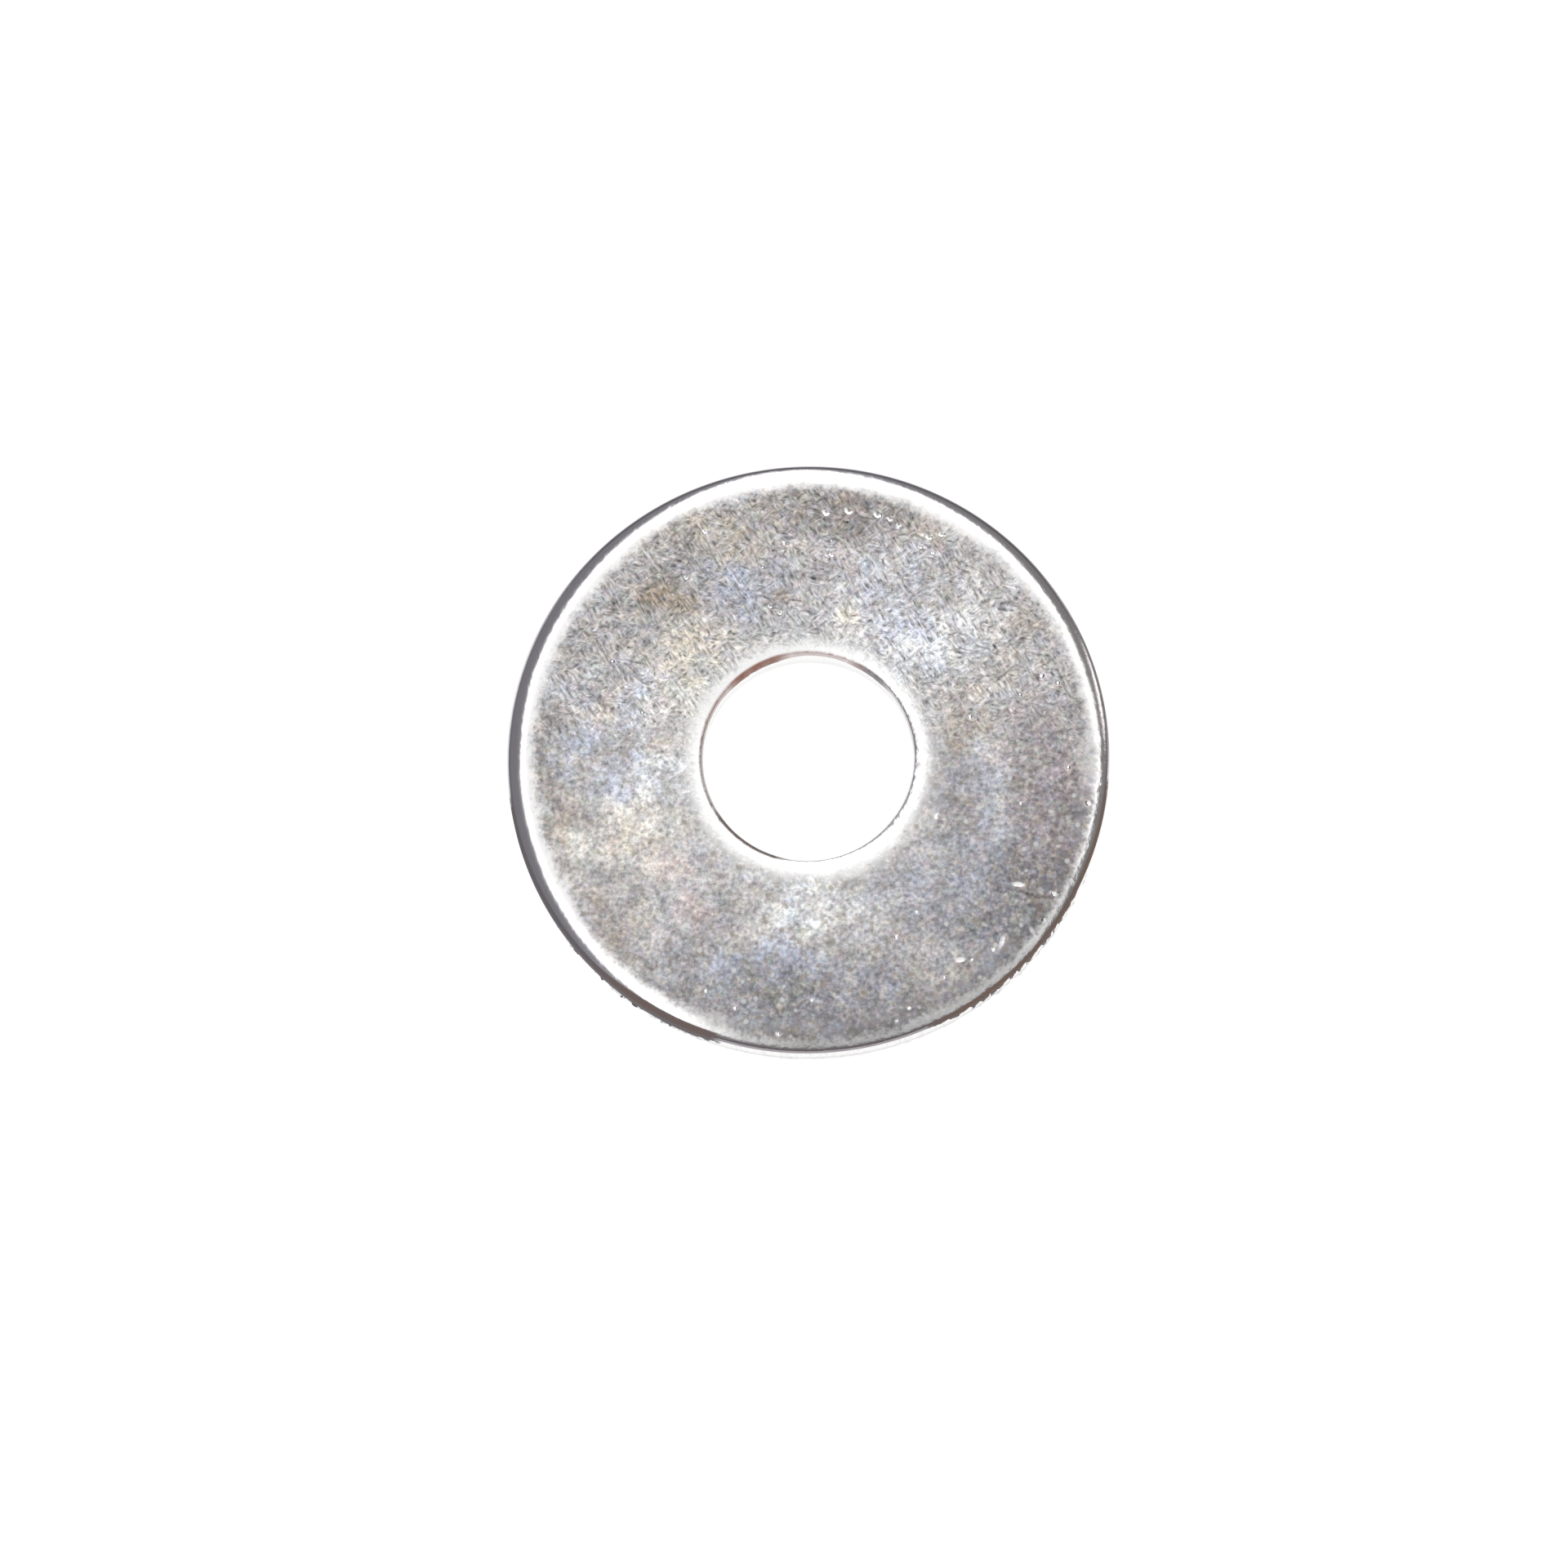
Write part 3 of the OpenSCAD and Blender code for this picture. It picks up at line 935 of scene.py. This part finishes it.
class WASHER_OT_add_washer(bpy.types.Operator):
    """Spins the washer's section, wears it and gives it its finish"""

    bl_idname = "washer.add_washer"
    bl_label = "Plated Washer"

    def execute(self, context):
        sizes = context.scene.washer_sizes
        piece = spin_section(sizes)
        add_wear(piece, sizes)
        bpy.ops.object.shade_smooth_by_angle(angle=math.radians(50))
        paint_film(piece, context.scene.washer_finish, sizes)
        piece.data.materials.clear()
        piece.data.materials.append(plated_steel(context.scene.washer_finish, sizes))
        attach(piece, "root")
        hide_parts(NODE)
        return {"FINISHED"}


def light_world(world, strength):
    """Large white panel overhead with a soft dusk in it, dim walls and a pale horizon."""
    world.use_nodes = True
    graph = Graph(world.node_tree)
    ray = graph.node("ShaderNodeTexCoord", None, None, "Generated")
    east, north, up = graph.split(ray)
    off_axis = up.maths("ARCCOSINE", up) * math.degrees(1)
    spread = (east * east + north * north).power(0.5).most(0.0001)
    # Degrees off the zenith to the right and to the back; the flat face mirrors the middle of the dusk
    x = off_axis * east / spread
    y = off_axis * north / spread
    middle = 13.0

    # Panel: wide in front, narrowing towards the back and leaning to the left there
    behind = (y - middle).most(0.0)
    wide = ((x - 2.9 + behind * 0.12).size() / 31.1).power(1.5)
    far = (behind / (43.5 - x.least(0.0) * 0.2)).power(1.3)
    near = ((4.0 - y).most(0.0) / 36.0).power(5.0)
    panel = 1 - (wide + far + near).ramp(0.91, 1.13)

    # Dusk over the middle: soft on all sides, open to the front
    below = (middle - y).most(0.0)
    left = below.ramp(10.0, 25.0) * 4.0 - 4.0
    right = 9.0 + below.least(18.0) * 0.8
    dusk = x.ramp(left - 40.0, left) * (1 - x.ramp(right, right + 56.0)) * (1 - y.ramp(middle, 66.0))
    reach = (x * x + (y - middle) * (y - middle)).power(0.5)
    dusk = dusk * (1 - reach.ramp(30.0, 37.0) * x.ramp(8.0, 20.0) * 0.8)
    dim = y.ramp(-50.0, -10.0) * 0.3 + 0.63

    # Dim walls over a bright horizon
    back = (y - x.size() * 0.6).ramp(5.0, 35.0)
    horizon = (off_axis + (-1.0 * y).ramp(20.0, 45.0) * 16.0).ramp(58.0, 70.0) * (1 - back * 0.85)
    glow = ((x - 44.5).size() / 4.0).power(2.0) + ((y - 26.0).size() / 11.0).power(2.0)
    walls = 0.18 + (-1.0 * y).ramp(8.0, 30.0) * 0.12 + horizon * 0.75 + (1 - glow.ramp(0.3, 1.0)) * 1.3
    faint = (x - y).ramp(20.0, 36.0)
    level = 2.6 - faint * 1.65
    level = level * (1 - dusk) + dim * dusk
    level = walls * (1 - panel) + level * panel
    low = off_axis.ramp(84.0, 92.0)
    level = level * (1 - low) + low

    # Walls that are a little purple on the left and brown on the right
    tint = graph.mix((x - y * 0.5).ramp(-25.0, 25.0), (1.0, 0.965, 1.06, 1.0), (1.03, 0.97, 0.98, 1.0))
    tint = graph.mix(panel.most(low), tint, WHITE)
    camera = graph.node("ShaderNodeLightPath", None, None, "Is Camera Ray")
    light = graph.node("ShaderNodeBackground", None, {"Color": tint, "Strength": level})
    white = graph.node("ShaderNodeBackground", None, {"Color": WHITE, "Strength": strength})
    shader = graph.node("ShaderNodeMixShader", None, {0: camera, 1: light, 2: white})
    graph.node("ShaderNodeOutputWorld", None, {"Surface": shader})


def floor_material(strength):
    """Pale floor that stays white to the camera and to gloss, and keeps a soft shadow."""
    material = bpy.data.materials.new("pale_floor")
    material.use_nodes = True
    graph = Graph(material.node_tree)
    camera = graph.node("ShaderNodeLightPath", None, None, "Is Camera Ray")
    outputs = camera.socket.node.outputs
    seen = camera + Wire(graph, outputs["Is Glossy Ray"]) + Wire(graph, outputs["Is Transmission Ray"])
    share = seen.least(1.0) * FLOOR_GLOW_SHARE
    lit = graph.node("ShaderNodeBsdfDiffuse", None, {"Color": (0.92, 0.92, 0.92, 1.0)})
    glow = graph.node("ShaderNodeEmission", None, {"Color": WHITE, "Strength": strength * FLOOR_GLOW})
    shader = graph.node("ShaderNodeMixShader", None, {0: share, 1: lit, 2: glow})
    graph.node("ShaderNodeOutputMaterial", None, {"Surface": shader})
    return material


class WASHER_OT_add_stage(bpy.types.Operator):
    """Lays the pale floor and sets the light and the camera"""

    bl_idname = "washer.add_stage"
    bl_label = "Studio"

    def execute(self, context):
        stage = context.scene.washer_stage
        deselect_all()
        bpy.ops.mesh.primitive_plane_add(size=FLOOR_WIDTH, location=(0, 0, 0))
        floor = context.object
        floor.name = "floor"
        floor.data.materials.append(floor_material(stage.background))

        world = bpy.data.worlds.new("studio")
        context.scene.world = world
        light_world(world, stage.background)

        # The picture is 1920 across; the washer's middle sits a little right of and above its middle
        picture = 1920
        washer_x, washer_y = 989.2, 925.6
        span = 36.0 / stage.lens * stage.distance
        pixel = span / picture
        target = Vector(((picture / 2 - washer_x) * pixel, (washer_y - picture / 2) * pixel, CAD_HIGH.z))
        lean = Vector((math.cos(stage.side), math.sin(stage.side), 0)) * math.sin(stage.tilt)
        back = lean + Vector((0, 0, math.cos(stage.tilt)))
        bpy.ops.object.camera_add(location=target + back * stage.distance)
        camera = context.object
        camera.name = "camera"
        camera.data.lens = stage.lens
        camera.data.sensor_width = 36.0
        camera.data.clip_start = 0.01
        camera.data.clip_end = 10.0
        forward = -back
        right = forward.cross(Vector((0, 1, 0))).normalized()
        up = right.cross(forward)
        camera.rotation_mode = "QUATERNION"
        camera.rotation_quaternion = Matrix((right, up, -forward)).transposed().to_quaternion()
        context.scene.camera = camera
        context.scene.view_settings.view_transform = "Standard"
        return {"FINISHED"}


class WASHER_PT_panel(bpy.types.Panel):
    """Lists the washer's sizes, its finish and the studio"""

    bl_label = "Zinc Plated Washer"
    bl_idname = "WASHER_PT_panel"
    bl_space_type = "VIEW_3D"
    bl_region_type = "UI"
    bl_category = "Washer"

    def draw(self, context):
        for group in (context.scene.washer_sizes, context.scene.washer_finish, context.scene.washer_stage):
            box = self.layout.box()
            for name in type(group).__annotations__:
                box.prop(group, name)
        self.layout.operator(WASHER_OT_add_washer.bl_idname)
        self.layout.operator(WASHER_OT_add_stage.bl_idname)


CLASSES = (
    WasherSizes,
    WasherFinish,
    WasherStage,
    WASHER_OT_add_washer,
    WASHER_OT_add_stage,
    WASHER_PT_panel,
)


def register():
    for cls in CLASSES:
        bpy.utils.register_class(cls)
    bpy.types.Scene.washer_sizes = PointerProperty(type=WasherSizes)
    bpy.types.Scene.washer_finish = PointerProperty(type=WasherFinish)
    bpy.types.Scene.washer_stage = PointerProperty(type=WasherStage)


def unregister():
    del bpy.types.Scene.washer_stage
    del bpy.types.Scene.washer_finish
    del bpy.types.Scene.washer_sizes
    for cls in reversed(CLASSES):
        bpy.utils.unregister_class(cls)


def main():
    register()
    bpy.ops.washer.add_washer()
    bpy.ops.washer.add_stage()


if __name__ == "__main__":
    main()
